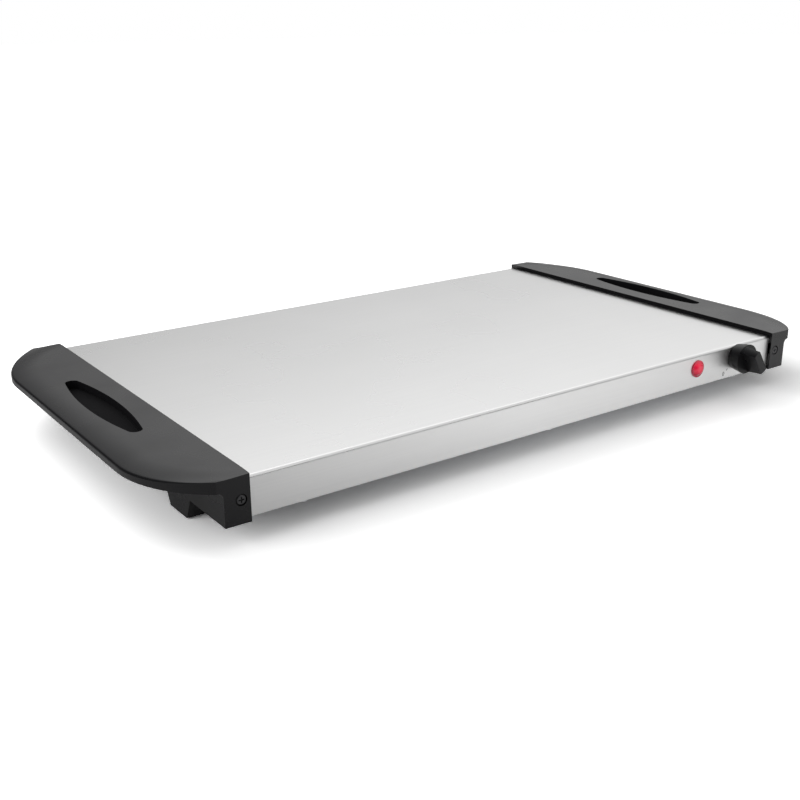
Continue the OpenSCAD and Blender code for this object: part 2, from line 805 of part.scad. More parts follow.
module fuse_clip() color("silver") home() {
    difference() {
        union() {
            along_y(fuse_x, fuse_z, fuse_d + 2 * clip_t + 2 * core,
                fuse_y - clip_w / 2, fuse_y + clip_w / 2);
            block([fuse_x - fuse_d - 3, fuse_y - clip_w / 2, z_spread - clip_t],
                [fuse_x + fuse_d + 3, fuse_y + clip_w / 2, z_spread]);
        }
        along_y(fuse_x, fuse_z, fuse_d + 2 * core, fuse_y - clip_w, fuse_y + clip_w);
        block([fuse_x - fuse_d - 4, fuse_y - clip_w, z_spread],
            [fuse_x + fuse_d + 4, fuse_y + clip_w, z_spread + fuse_d]);
    }
}

// The ring tag lies under the top sheet on the earth stud.
tag_gap = 2;
tag_t = 0.8;
tag_drop = tag_gap + tag_t;
tag_l = 12;

module earth_tag() color("silver") home() {
    translate([earth_x, earth_y, z_under - tag_drop]) difference() {
        union() {
            cylinder(h = tag_drop, d = 8);
            translate([-3, -tag_l, 0]) cube([6, tag_l, tag_t]);
        }
        translate([0, 0, -1]) cylinder(h = tag_drop + 2, d = stud_d + 2 * core);
    }
}

// A wire is a tube swept along a smooth curve through its own points.
function curve_point(p, i, t) =
    let (a = p[max(i - 1, 0)], b = p[i], c = p[i + 1], d = p[min(i + 2, len(p) - 1)])
    0.5 * (2 * b + (c - a) * t + (2 * a - 5 * b + 4 * c - d) * t * t
        + (3 * b - a - 3 * c + d) * t * t * t);
function smooth_path(p, steps) = concat(
    [for (i = [0 : len(p) - 2], k = [0 : steps - 1]) curve_point(p, i, k / steps)], [p[len(p) - 1]]);
function unit(v) = v / norm(v);
function tangent(p, i) = unit(p[min(i + 1, len(p) - 1)] - p[max(i - 1, 0)]);
function tube_ring(p, i, r, sides) =
    let (t = tangent(p, i), u = unit(cross(t, [0.13, 0.21, 1])), w = cross(t, u))
    [for (k = [0 : sides - 1]) p[i] + r * (u * cos(360 * k / sides) + w * sin(360 * k / sides))];

module tube(points, d, sides = 8) {
    p = smooth_path(points, 4);
    n = len(p);
    rings = [for (i = [0 : n - 1]) each tube_ring(p, i, d / 2, sides)];
    walls = [for (i = [0 : n - 2], k = [0 : sides - 1])
        let (a = i * sides + k, b = i * sides + (k + 1) % sides)
        each [[a, b + sides, b], [a, a + sides, b + sides]]];
    last = (n - 1) * sides;
    caps = [for (k = [1 : sides - 2]) each [[0, k, k + 1], [last, last + k + 1, last + k]]];
    polyhedron(points = rings, faces = concat(walls, caps), convexity = 10);
}

y_tab = y_out - inlet_d - tab_l;
y_plug = y_tab - 0.7;               // where a wire meets its pin

// The wires' routes start from what they join. The turns between lie at these places.
x_aisle = x_in - 2;                 // beside the right end cap
x_slot = field_right + 8;           // beside the heated field
y_back = y_tab - 38;                // in front of the inlet
y_front = -y_in + 45;               // behind the thermostat
x_block_in = block_x - block_w / 2 + way_deep - 0.5;
x_block_out = block_x + block_w / 2 - way_deep + 0.5;
x_mouth_in = x_block_in - 9;        // in line with a way, outside the terminal block
x_mouth_out = x_block_out + 9;
x_blades = knob_x + stack_off + stack_d / 2 + blade_tail;

module live_wire() color("saddlebrown") home() {
    tube([
        [inlet_x - pin_pitch, y_plug, z_inlet - earth_up],
        [inlet_x - pin_pitch, y_plug - 11, z_inlet - earth_up],
        [inlet_x + 2, y_back, z_wire + 7],
        [x_in - 22, block_y + 20, z_wire + 7],
        [x_aisle - 1, block_y - 20, z_wire + 2],
        [x_aisle + 2, y_front + 60, z_wire],
        [x_aisle + 2, y_front, z_wire + 2],
        [x_blades + 3, y_blade1 + 8, ctl_z - 3],
        [x_blades - 3, y_blade1 + blade_t + lead_d / 2 + 2 * core, ctl_z]], lead_d);
}

// From the thermostat to the terminal block, and on to the thermal fuse.
module switched_wire() color("dimgray") home() {
    tube([
        [x_blades - 7, y_blade2 + blade_t + lead_d / 2 + 2 * core, ctl_z],
        [x_aisle - 10, y_front, z_wire + 3],
        [x_aisle - 12, y_front + 60, z_wire],
        [block_x + 24, block_y - 40, z_wire],
        [x_mouth_out + 4, block_y - way - 4, z_wire],
        [x_mouth_out, block_y - way, z_wire],
        [x_block_out, block_y - way, z_wire]], lead_d);
    tube([
        [x_block_in, block_y - way + pair, z_wire],
        [x_mouth_in, block_y - way + pair, z_wire],
        [x_mouth_in - 8, block_y - way - 0.2, z_wire],
        [block_x - 30, fuse_y + 3, z_wire],
        [fuse_x + 10, fuse_y - 17, z_wire + 5],
        [fuse_x + 2, fuse_y - 27, fuse_z - 5],
        [fuse_x, fuse_y - fuse_l / 2 - 8.5, fuse_z]], thin_d);
}

module neutral_wire() color("royalblue") home() {
    tube([
        [inlet_x + pin_pitch, y_plug, z_inlet - earth_up],
        [inlet_x + pin_pitch, y_plug - 11, z_inlet - earth_up - 3],
        [inlet_x + 26, y_back + 4, z_wire + 1],
        [block_x + 20, block_y + 30, z_wire],
        [x_mouth_out + 4, block_y + way + 4, z_wire],
        [x_mouth_out, block_y + way, z_wire],
        [x_block_out, block_y + way, z_wire]], lead_d);
}

module earth_wire() color("limegreen") home() {
    tube([
        [inlet_x, y_plug, z_inlet + earth_up],
        [inlet_x + 1, y_plug - 9, z_inlet + earth_up],
        [inlet_x + 20, y_plug - 17, z_inlet + 5],
        [earth_x - 12, earth_y - 24, z_under - 7],
        [earth_x, earth_y - tag_l - 9, z_under - tag_drop - 1],
        [earth_x, earth_y - tag_l + 2, z_under - tag_drop - lead_d / 2 - 2 * core]], lead_d);
}

module lamp_wires() color("dimgray") home() {
    y0 = -y_out + barrel_l + 0.7;
    tube([
        [lamp_x + 2.4, y0, lamp_z],
        [lamp_x + 3, y0 + 10, lamp_z - 3],
        [knob_x - 20, y_front + 25, z_wire - 1],
        [block_x - 14, block_y - 60, z_wire],
        [x_mouth_in - 5, block_y - way - 18, z_wire],
        [x_mouth_in - 3.5, block_y - way - 5, z_wire],
        [x_mouth_in, block_y - way - pair, z_wire],
        [x_block_in, block_y - way - pair, z_wire]], thin_d);
    tube([
        [lamp_x - 2.4, y0, lamp_z],
        [lamp_x - 3, y0 + 12, lamp_z - 4],
        [knob_x - 30, y_front + 40, z_wire],
        [block_x - 22, block_y - 60, z_wire + 2],
        [block_x - 23, block_y - 16, z_wire + 6],
        [x_mouth_in - 5, block_y + way - 3.4, z_wire + 0.5],
        [x_mouth_in, block_y + way - pair, z_wire],
        [x_block_in, block_y + way - pair, z_wire]], thin_d);
}

module heater_leads() color("firebrick") home() {
    y_last = (wire_runs - 1) * wire_pitch / 2;
    tube([
        [field_right - 7.6, y_last, wire_z],
        [field_right + 6, y_last, wire_z - 1],
        [field_right + 16, y_last - 20, wire_z - 8],
        [field_right + 20, block_y + 40, z_wire + 2],
        [x_mouth_in - 12, block_y + way + 14, z_wire],
        [x_mouth_in - 6, block_y + way + 3.2, z_wire],
        [x_mouth_in, block_y + way + pair, z_wire],
        [x_block_in, block_y + way + pair, z_wire]], thin_d);
    tube([
        [field_right - 7.6, -y_last, wire_z],
        [field_right + 5, -y_last + 4, wire_z - 1],
        [field_right + 12, -y_last + 40, wire_z - 8],
        [x_slot - 2, fuse_y - 35, z_wire + 4],
        [x_slot, fuse_y + 15, z_wire + 6],
        [fuse_x - 2, fuse_y + fuse_l / 2 + 16, fuse_z - 3],
        [fuse_x, fuse_y + fuse_l / 2 + 8.5, fuse_z]], thin_d);
}

top_cover();
base_plate();
left_end_cap();
right_end_cap();
foot_pads();
cap_screws();
spring_nuts();
base_screws();
heat_spreader();
heating_wire();
foil_backing();
insulating_felt();
weld_studs();
clamp_bars();
stud_nuts();
thermostat_frame();
bush_nut();
stack_rivet();
ceramic_spacers();
contact_blades();
bimetal_strip();
control_shaft();
control_knob();
knob_clip();
lamp_lens();
lamp_barrel();
neon_bulb();
lamp_ring();
mains_inlet();
inlet_pins();
inlet_screws();
inlet_nuts();
terminal_block();
terminal_screws();
thermal_fuse();
fuse_clip();
earth_tag();
live_wire();
switched_wire();
neutral_wire();
earth_wire();
lamp_wires();
heater_leads();
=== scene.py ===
import json
import math

import bpy
from mathutils import Matrix, Vector


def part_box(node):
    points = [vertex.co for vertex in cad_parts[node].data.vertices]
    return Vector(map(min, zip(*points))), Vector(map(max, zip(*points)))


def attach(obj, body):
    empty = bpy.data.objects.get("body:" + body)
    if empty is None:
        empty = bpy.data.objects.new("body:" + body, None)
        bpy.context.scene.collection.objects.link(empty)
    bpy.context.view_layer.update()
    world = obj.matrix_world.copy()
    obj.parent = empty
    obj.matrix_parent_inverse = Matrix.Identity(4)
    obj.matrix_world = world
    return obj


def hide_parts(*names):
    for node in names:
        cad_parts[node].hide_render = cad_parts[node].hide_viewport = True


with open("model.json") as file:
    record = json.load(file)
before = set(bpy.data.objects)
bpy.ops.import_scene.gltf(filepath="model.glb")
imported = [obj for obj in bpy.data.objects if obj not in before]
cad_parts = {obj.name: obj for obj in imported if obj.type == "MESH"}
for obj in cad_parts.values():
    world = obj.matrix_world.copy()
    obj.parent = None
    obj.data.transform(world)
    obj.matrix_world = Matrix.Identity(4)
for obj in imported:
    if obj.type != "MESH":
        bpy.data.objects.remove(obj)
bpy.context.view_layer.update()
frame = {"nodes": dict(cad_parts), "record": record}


# ------------------------------------------------------------------ camera
# A mild telephoto lens looks at the tray from the left of its front and a little
# above, with a hair of tilt. The object's frame is the CAD model's own.
MM = 0.001
wall_front_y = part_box("top_cover")[0].y
camera_place = Vector((-0.5205, wall_front_y - 0.5404, 0.3069))
camera_yaw = math.radians(35.37)
camera_pitch = math.radians(19.71)
camera_roll = math.radians(-0.392)
focal_pixels = 1080.7
image_pixels = 800
sensor_w = 36

bpy.ops.object.camera_add()
camera = bpy.context.object
camera.name = "camera"
camera.data.sensor_width = sensor_w
camera.data.lens = focal_pixels / image_pixels * sensor_w
camera.data.clip_start = 0.01
camera.data.clip_end = 40
camera.matrix_world = (
    Matrix.Translation(camera_place)
    @ Matrix.Rotation(-camera_yaw, 4, "Z")
    @ Matrix.Rotation(math.pi / 2 - camera_pitch, 4, "X")
    @ Matrix.Rotation(camera_roll, 4, "Z")
)
bpy.context.scene.camera = camera
bpy.context.scene.view_settings.view_transform = "Standard"


# ------------------------------------------------------------------ table and studio light
# The tray stands on a white table that runs out of sight. The camera sees the lit
# table as pure white, and the tray's soft shadow stays on it. Polished things see a
# studio that is dimmer on the left, in front and near the horizon, and the table's
# tone that they see is painted darker on the left and lighter on the right: painted
# shade and painted light in the reflections.
table_size = 24
table_tone = 0.82
sky_light = 0.62
reflected_slope = (0.35, 0.0, 1.6)
# Each span is two input values and the two values that they turn into.
extra_by_distance = (0.5, 1.6, 0.62, 0.95)
painted_reflection_tone_by_x = (-0.30, 0.02, 0.42, 1.26)
reflected_sky_by_slope = (0.40, 0.95, 0.22, 1.48)
share_by_way_y = (-0.05, 0.45, 0.60, 1.0)
share_by_way_x = (-0.40, 0.32, 0.10, 1.0)


def add(tree, kind, operation=None):
    """Adds a shader node, with its operation where it has one."""
    node = tree.nodes.new(kind)
    if operation:
        node.operation = operation
    return node


def wire(tree, *pairs):
    """Links each output to its input."""
    for source, target in pairs:
        tree.links.new(source, target)


def map_range(tree, source, span):
    """Maps the first two values of a span onto its last two."""
    node = add(tree, "ShaderNodeMapRange")
    for label, value in zip(("From Min", "From Max", "To Min", "To Max"), span):
        node.inputs[label].default_value = value
    wire(tree, (source, node.inputs["Value"]))
    return node.outputs["Result"]


def combine(tree, operation, first, second):
    """Joins two values by one operation."""
    node = add(tree, "ShaderNodeMath", operation)
    wire(tree, (first, node.inputs[0]), (second, node.inputs[1]))
    return node.outputs[0]


def choose(tree, share, first, second):
    """Mixes two shaders, by the share of the second."""
    node = add(tree, "ShaderNodeMixShader")
    wire(tree, (share, node.inputs[0]), (first, node.inputs[1]), (second, node.inputs[2]))
    return node.outputs[0]


bpy.ops.mesh.primitive_plane_add(size=table_size, location=(0, 0, 0))
table = bpy.context.object
table.name = "studio_table"

table_white = bpy.data.materials.new("table_white")
table_white.use_nodes = True
tree = table_white.node_tree
tree.nodes.clear()
out = add(tree, "ShaderNodeOutputMaterial")
ray = add(tree, "ShaderNodeLightPath")
spot = add(tree, "ShaderNodeTexCoord")
far = add(tree, "ShaderNodeVectorMath", "LENGTH")
across = add(tree, "ShaderNodeSeparateXYZ")
wire(tree, (spot.outputs["Object"], far.inputs[0]),
     (spot.outputs["Object"], across.inputs[0]))
# The table's tone in reflections is painted by X: painted shade on the left, painted light on the
# right.
tone = add(tree, "ShaderNodeMix")
tone.inputs["A"].default_value = table_tone
wire(tree, (ray.outputs["Is Glossy Ray"], tone.inputs["Factor"]),
     (map_range(tree, across.outputs["X"], painted_reflection_tone_by_x), tone.inputs["B"]))
plain = add(tree, "ShaderNodeBsdfDiffuse")
extra = add(tree, "ShaderNodeBsdfDiffuse")
both = add(tree, "ShaderNodeAddShader")
wire(tree, (tone.outputs["Result"], plain.inputs["Color"]),
     (map_range(tree, far.outputs["Value"], extra_by_distance), extra.inputs["Color"]),
     (plain.outputs[0], both.inputs[0]), (extra.outputs[0], both.inputs[1]))
seen = choose(tree, ray.outputs["Is Camera Ray"], plain.outputs[0], both.outputs[0])
wire(tree, (seen, out.inputs["Surface"]))
table.data.materials.append(table_white)


def white_light(tree, strength=1.0):
    """Adds an even white background."""
    node = add(tree, "ShaderNodeBackground")
    node.inputs["Color"].default_value = (1, 1, 1, 1)
    node.inputs["Strength"].default_value = strength
    return node


studio = bpy.data.worlds.new("white_studio")
bpy.context.scene.world = studio
studio.use_nodes = True
tree = studio.node_tree
tree.nodes.clear()
out = add(tree, "ShaderNodeOutputWorld")
ray = add(tree, "ShaderNodeLightPath")
way = add(tree, "ShaderNodeTexCoord")
slope = add(tree, "ShaderNodeVectorMath", "DOT_PRODUCT")
slope.inputs[1].default_value = reflected_slope
parts = add(tree, "ShaderNodeSeparateXYZ")
wire(tree, (way.outputs["Generated"], slope.inputs[0]),
     (way.outputs["Generated"], parts.inputs[0]))
glow = combine(tree, "MULTIPLY", map_range(tree, slope.outputs["Value"], reflected_sky_by_slope),
               map_range(tree, parts.outputs["Y"], share_by_way_y))
glow = combine(tree, "MULTIPLY", glow, map_range(tree, parts.outputs["X"], share_by_way_x))
mirrored = white_light(tree)
wire(tree, (glow, mirrored.inputs["Strength"]))
polished = combine(tree, "MAXIMUM", ray.outputs["Is Glossy Ray"],
                   ray.outputs["Is Transmission Ray"])
lit = choose(tree, polished, white_light(tree, sky_light).outputs[0], mirrored.outputs[0])
seen = choose(tree, ray.outputs["Is Camera Ray"], lit, white_light(tree).outputs[0])
wire(tree, (seen, out.inputs["Surface"]))


def softbox(name, place, target, width, depth, watts):
    """A large rectangular studio lamp, turned to its target."""
    bpy.ops.object.light_add(type="AREA", location=place)
    lamp = bpy.context.object
    lamp.name = name
    lamp.data.shape = "RECTANGLE"
    lamp.data.size = width
    lamp.data.size_y = depth
    lamp.data.energy = watts
    lamp.visible_glossy = False
    lamp.rotation_euler = (Vector(target) - Vector(place)).to_track_quat("-Z", "Y").to_euler()


softbox("back_softbox", (-0.35, 1.25, 1.25), (0, 0, 0), 1.6, 1.0, 14)
softbox("left_softbox", (-1.6, 0.0, 0.8), (0, 0, 0), 1.2, 0.9, 12.5)


# ------------------------------------------------------------------ steel cover
# One sheet of satin stainless steel, bent down at the front and back and turned
# in under the walls. Holes are punched for the knob, the lamp and the inlet.
sheet_t = 0.8 * MM
bend_r = 2.4 * MM
bend_steps = 10
flange_w = 9 * MM
bush_hole_r = 4.85 * MM
barrel_hole_r = 5.1 * MM
inlet_hole_half_x = 13.7 * MM
inlet_hole_half_z = 10.1 * MM
inlet_screw_reach = 20 * MM
inlet_screw_r = 1.8 * MM
punch_out = 2 * MM
punch_in = 3 * MM
hair = MM / 10
cover_low, cover_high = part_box("top_cover")
cover_mid = (cover_low + cover_high) / 2
cover_size = cover_high - cover_low


def take(piece):
    """Makes a piece the only one selected, and the active one."""
    bpy.ops.object.select_all(action="DESELECT")
    piece.select_set(True)
    bpy.context.view_layer.objects.active = piece


def done():
    """Leaves edit mode."""
    bpy.ops.object.mode_set(mode="OBJECT")


def open_clear(piece, kind):
    """Clears a piece's selection, for picking edges or faces."""
    take(piece)
    bpy.ops.object.mode_set(mode="EDIT")
    bpy.ops.mesh.select_mode(type=kind)
    bpy.ops.mesh.select_all(action="DESELECT")
    done()


def pick_edges(piece, test):
    """Selects the edges whose middle and direction pass the test, in edit mode."""
    open_clear(piece, "EDGE")
    points = piece.data.vertices
    for edge in piece.data.edges:
        a, b = (points[i].co for i in edge.vertices)
        edge.select = bool(test((a + b) / 2, (b - a).normalized()))
    bpy.ops.object.mode_set(mode="EDIT")


def pick_faces(piece, test):
    """Selects the faces whose centre and normal pass the test, in edit mode."""
    open_clear(piece, "FACE")
    for face in piece.data.polygons:
        face.select = bool(test(face.center, face.normal))
    bpy.ops.object.mode_set(mode="EDIT")


def apply_modifier(piece, kind, **settings):
    """Adds a modifier with its settings and applies it."""
    take(piece)
    modifier = piece.modifiers.new(kind.lower(), kind)
    for name, value in settings.items():
        setattr(modifier, name, value)
    bpy.ops.object.modifier_apply(modifier=modifier.name)


def settle(piece):
    """Moves a piece's place, turn and size into its mesh."""
    take(piece)
    bpy.ops.object.transform_apply(location=True, rotation=True, scale=True)


def block(low, high):
    """A block from its low corner to its high corner."""
    low, high = Vector(low), Vector(high)
    bpy.ops.object.select_all(action="DESELECT")
    bpy.ops.mesh.primitive_cube_add(size=1, location=(low + high) / 2)
    piece = bpy.context.object
    piece.scale = high - low
    settle(piece)
    return piece


def rod(start, end, radius, end_radius=None, sides=48):
    """A round bar, or a cone, from one point to another."""
    start, end = Vector(start), Vector(end)
    bpy.ops.object.select_all(action="DESELECT")
    bpy.ops.mesh.primitive_cone_add(vertices=sides, radius1=radius, depth=(end - start).length,
                                    radius2=radius if end_radius is None else end_radius)
    piece = bpy.context.object
    turn = (end - start).to_track_quat("Z", "Y").to_matrix().to_4x4()
    piece.matrix_world = Matrix.Translation((start + end) / 2) @ turn
    settle(piece)
    return piece


def pin(x, z, y_start, y_end, radius, end_radius=None, sides=48):
    """A rod along Y, at one place in X and Z."""
    return rod((x, y_start, z), (x, y_end, z), radius, end_radius, sides)


def cut(piece, cutter, operation="DIFFERENCE"):
    """Cuts another solid away, or joins it, or keeps what both share."""
    apply_modifier(piece, "BOOLEAN", object=cutter, operation=operation, solver="EXACT")
    bpy.data.objects.remove(cutter, do_unlink=True)


def smooth(piece, edge=0.0, steps=3, angle=33, edge_angle=30):
    """Breaks the sharp edges by a small rounding and keeps the flats flat."""
    if edge:
        apply_modifier(piece, "BEVEL", width=edge, segments=steps, limit_method="ANGLE",
                       angle_limit=math.radians(edge_angle), miter_outer="MITER_ARC")
    take(piece)
    bpy.ops.object.shade_smooth_by_angle(angle=math.radians(angle))
    apply_modifier(piece, "WEIGHTED_NORMAL", keep_sharp=True, weight=50)


bpy.ops.object.select_all(action="DESELECT")
bpy.ops.mesh.primitive_plane_add(size=1, location=(cover_mid.x, cover_mid.y, cover_high.z))
cover = bpy.context.object
cover.name = "steel_cover"
cover.scale = (cover_size.x, cover_size.y, 1)
settle(cover)
for side in (-1, 1):
    edge_y = cover_mid.y + side * cover_size.y / 2
    pick_edges(cover, lambda mid, along: abs(mid.y - edge_y) < hair
               and mid.z > cover_high.z - hair)
    for move in ((0, 0, -cover_size.z), (0, -side * flange_w, 0)):
        bpy.ops.mesh.extrude_edges_move(TRANSFORM_OT_translate={"value": move})
    done()
pick_edges(cover, lambda mid, along: abs(along.x) > 0.9 and mid.z > cover_high.z - hair
           and abs(mid.y - cover_mid.y) > cover_size.y / 2 - MM)
bpy.ops.mesh.bevel(offset=bend_r, segments=bend_steps, affect="EDGES")
bpy.ops.mesh.select_all(action="SELECT")
bpy.ops.mesh.normals_make_consistent(inside=False)
done()
if max(cover.data.polygons, key=lambda face: face.area).normal.z < 0:
    cover.data.flip_normals()
apply_modifier(cover, "SOLIDIFY", thickness=sheet_t, offset=-1, use_even_offset=True)

shaft_low, shaft_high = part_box("control_shaft")
shaft_mid = (shaft_low + shaft_high) / 2
barrel_low, barrel_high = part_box("lamp_barrel")
lamp_mid = (barrel_low + barrel_high) / 2
for centre, radius in ((shaft_mid, bush_hole_r), (lamp_mid, barrel_hole_r)):
    cut(cover, pin(centre.x, centre.z, wall_front_y - punch_out, wall_front_y + punch_in, radius))
inlet_low, inlet_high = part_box("mains_inlet")
inlet_mid = (inlet_low + inlet_high) / 2
wall_back_y = cover_high.y


def inlet_block(half_x, half_z, low_y, high_y):
    """A block round the inlet's axis."""
    return block((inlet_mid.x - half_x, low_y, inlet_mid.z - half_z),
                 (inlet_mid.x + half_x, high_y, inlet_mid.z + half_z))


cut(cover, inlet_block(inlet_hole_half_x, inlet_hole_half_z,
                       wall_back_y - punch_in, wall_back_y + punch_in))
for side in (-1, 1):
    cut(cover, pin(inlet_mid.x + side * inlet_screw_reach, inlet_mid.z,
                   wall_back_y - punch_in, wall_back_y + punch_in, inlet_screw_r, sides=24))
smooth(cover)

# Every finish on the tray has a fine grain and slow cloudy patches. The group turns
# both into a colour mask, a gloss mask and a height.
grain_share = 0.55
patch_share = 0.45
surface_grain = bpy.data.node_groups.new("surface_grain", "ShaderNodeTree")
for label, kind in (("Grain Size", "NodeSocketVector"), ("Patch Size", "NodeSocketFloat"),
                    ("Detail", "NodeSocketFloat")):
    surface_grain.interface.new_socket(name=label, in_out="INPUT", socket_type=kind)
for label in ("Tone", "Patches", "Height"):
    surface_grain.interface.new_socket(name=label, in_out="OUTPUT", socket_type="NodeSocketFloat")
given = add(surface_grain, "NodeGroupInput")
taken = add(surface_grain, "NodeGroupOutput")
place = add(surface_grain, "ShaderNodeTexCoord")
stretch = add(surface_grain, "ShaderNodeVectorMath", "MULTIPLY")
fine = add(surface_grain, "ShaderNodeTexNoise")
fine.inputs["Scale"].default_value = 1.0
clouds = add(surface_grain, "ShaderNodeTexNoise")
clouds.inputs["Detail"].default_value = 3.0
patch_part = add(surface_grain, "ShaderNodeMath", "MULTIPLY")
patch_part.inputs[1].default_value = patch_share
blend_tone = add(surface_grain, "ShaderNodeMath", "MULTIPLY_ADD")
blend_tone.inputs[1].default_value = grain_share
wire(surface_grain,
     (place.outputs["Object"], stretch.inputs[0]),
     (given.outputs["Grain Size"], stretch.inputs[1]),
     (stretch.outputs["Vector"], fine.inputs["Vector"]),
     (given.outputs["Detail"], fine.inputs["Detail"]),
     (place.outputs["Object"], clouds.inputs["Vector"]),
     (given.outputs["Patch Size"], clouds.inputs["Scale"]),
     (clouds.outputs["Fac"], patch_part.inputs[0]),
     (fine.outputs["Fac"], blend_tone.inputs[0]),
     (patch_part.outputs[0], blend_tone.inputs[2]),
     (blend_tone.outputs[0], taken.inputs["Tone"]),
     (clouds.outputs["Fac"], taken.inputs["Patches"]),
     (fine.outputs["Fac"], taken.inputs["Height"]))
grain_height = 0.00008
patch_low, patch_high = 0.3, 0.7


def finish(name, dark, light, gloss, grain, patches=30.0, relief=0.1,
           metallic=0.0, detail=2.0, shine=0.5):
    """A material whose colour runs from dark to light and whose roughness lies in the
    range gloss. Grain is the pattern's fineness along X, Y and Z, per metre."""
    material = bpy.data.materials.new(name)
    material.use_nodes = True
    tree = material.node_tree
    shader = tree.nodes["Principled BSDF"]
    shader.inputs["Metallic"].default_value = metallic
    shader.inputs["Specular IOR Level"].default_value = shine
    pattern = add(tree, "ShaderNodeGroup")
    pattern.node_tree = surface_grain
    pattern.inputs["Grain Size"].default_value = grain
    pattern.inputs["Patch Size"].default_value = patches
    pattern.inputs["Detail"].default_value = detail
    tone = add(tree, "ShaderNodeMix")
    tone.data_type = "RGBA"
    tone.inputs["A"].default_value = (*dark, 1)
    tone.inputs["B"].default_value = (*light, 1)
    bump = add(tree, "ShaderNodeBump")
    bump.inputs["Strength"].default_value = relief
    bump.inputs["Distance"].default_value = grain_height
    wire(tree,
         (pattern.outputs["Tone"], tone.inputs["Factor"]),
         (tone.outputs["Result"], shader.inputs["Base Color"]),
         (map_range(tree, pattern.outputs["Patches"], (patch_low, patch_high, *gloss)),
          shader.inputs["Roughness"]),
         (pattern.outputs["Height"], bump.inputs["Height"]),
         (bump.outputs["Normal"], shader.inputs["Normal"]))
    return material


def coat(piece, *materials):
    """Gives a piece its materials and no others."""
    piece.data.materials.clear()
    for material in materials:
        piece.data.materials.append(material)


brushed = (9, 1100, 1100)
satin_steel = finish("satin_stainless", (0.69, 0.69, 0.69), (0.77, 0.77, 0.765), (0.268, 0.284),
                     brushed, patches=9.0, relief=0.012, metallic=1.0, detail=3.0)
# The front and back walls take a rougher copy of the steel whose tone is painted a little lighter:
# painted light on the walls.
painted_lighter_wall_steel = finish("satin_stainless_wall_painted_lighter", (0.71, 0.71, 0.71), (0.79, 0.79, 0.785), (0.44, 0.48),
                    brushed, patches=9.0, relief=0.03, metallic=1.0, detail=3.0)
coat(cover, satin_steel, painted_lighter_wall_steel)
for face in cover.data.polygons:
    face.material_index = 1 if abs(face.normal.y) > 0.95 else 0
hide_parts("top_cover")
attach(cover, "tray")


# ------------------------------------------------------------------ end caps
# Each cap is one black moulding: a crowned handle with two big rounded corners and
# a blind thumb recess, a sleeve over the steel's end, and two tapered feet below.
cap_low, cap_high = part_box("right_end_cap")
cap_top = cap_high.z
cap_mid_y = (cap_low.y + cap_high.y) / 2
cap_half_y = (cap_high.y - cap_low.y) / 2
cap_inner_x = cap_low.x
cap_outer_x = cap_high.x
end_wall_x = cap_inner_x + 18 * MM
skin = 3 * MM
root_r = 4 * MM
edge_r = 0.7 * MM
# the handle
handle_t = 8.8 * MM
handle_dome = 4.2 * MM
dome_reach = 20 * MM
dome_rings = 8
flat_margin = 0.5 * MM
rim_r = 1.5 * MM
end_levelling = 0.85
corner_r = 83.6 * MM
corner_steps = 40
rim_half = 100 * MM
slab_inside = 60 * MM
rim_inside = 40 * MM
dome_margin = 3 * MM
# the sleeve, legs and feet
sleeve_half_y = 165.2 * MM
sleeve_gap = 0.2 * MM
end_wall_t = 4 * MM
leg_gap_half_y = 78.1 * MM
leg_z = cover_low.z - 2 * MM
foot_z = 1 * MM
foot_y = 99 * MM
foot_d = 17 * MM
foot_half_w = 20 * MM
foot_taper = 25 / 40
pad_hole_r = 6 * MM
pad_hole_z = 4 * MM
# the thumb recess
recess_x = cap_inner_x + 27.5 * MM
recess_depth = 6.3 * MM
recess_end_r = 5 * MM
recess_half_l = 65 * MM - recess_end_r
recess_half_w = 11.2 * MM - recess_end_r
# the screw wells
cap_screw_x = cap_inner_x + 6.3 * MM
cap_screw_z = leg_z + 16 * MM
well_r, well_depth = 3.9 * MM, 2.1 * MM
shank_hole_r, shank_hole_depth = 2.05 * MM, 5 * MM


def handle_plan(inset, low, high):
    """The handle's outline, drawn in by inset, between two heights. Its top falls away
    in a soft dome towards the outer rim, and less so near the front and back."""
    slab = block((cap_inner_x - slab_inside, cap_mid_y - rim_half - corner_r + inset, low),
                 (cap_outer_x - inset, cap_mid_y + rim_half + corner_r - inset, high))
    pick_edges(slab, lambda mid, along: abs(along.z) > 0.9 and mid.x > cap_inner_x)
    bpy.ops.mesh.bevel(offset=corner_r - inset, segments=corner_steps, affect="EDGES")
    done()
    fall = [handle_dome * (1 - i / dome_rings) ** 2 for i in range(dome_rings + 1)]
    pick_faces(slab, lambda centre, normal: normal.z > 0.9)
    bpy.ops.transform.translate(value=(0, 0, -fall[0]))
    for i in range(dome_rings):
        bpy.ops.mesh.inset(thickness=dome_reach / dome_rings, depth=0)
        bpy.ops.transform.translate(value=(0, 0, fall[i] - fall[i + 1]))
    bpy.ops.mesh.inset(thickness=flat_margin, depth=0)
    done()
    pick_edges(slab, lambda mid, along: abs(mid.z - high + handle_dome) < MM / 50
               and abs(along.z) < 0.1 and mid.x > cap_inner_x - rim_inside)
    bpy.ops.mesh.bevel(offset=rim_r, segments=5, affect="EDGES")
    done()
    for point in slab.data.vertices:
        if point.co.z > high - handle_dome - dome_margin:
            drop = high - point.co.z
            past = (abs(point.co.y - cap_mid_y) - rim_half) / (cap_half_y - rim_half)
            upper = min(1, (drop + handle_dome) / (2 * handle_dome))
            point.co.z += drop * end_levelling * min(max(past, 0), 1) ** 2 * upper
    pick_faces(slab, lambda centre, normal: normal.z > 0.02 and high - centre.z > MM / 1000)
    bpy.ops.mesh.quads_convert_to_tris()
    for point, normal in (((0, cap_mid_y - cap_half_y + inset, 0), (0, -1, 0)),
                          ((0, cap_mid_y + cap_half_y - inset, 0), (0, 1, 0)),
                          ((cap_inner_x, 0, 0), (-1, 0, 0))):
        bpy.ops.mesh.select_all(action="SELECT")
        bpy.ops.mesh.bisect(plane_co=point, plane_no=normal, use_fill=True, clear_outer=True)
    done()
    return slab


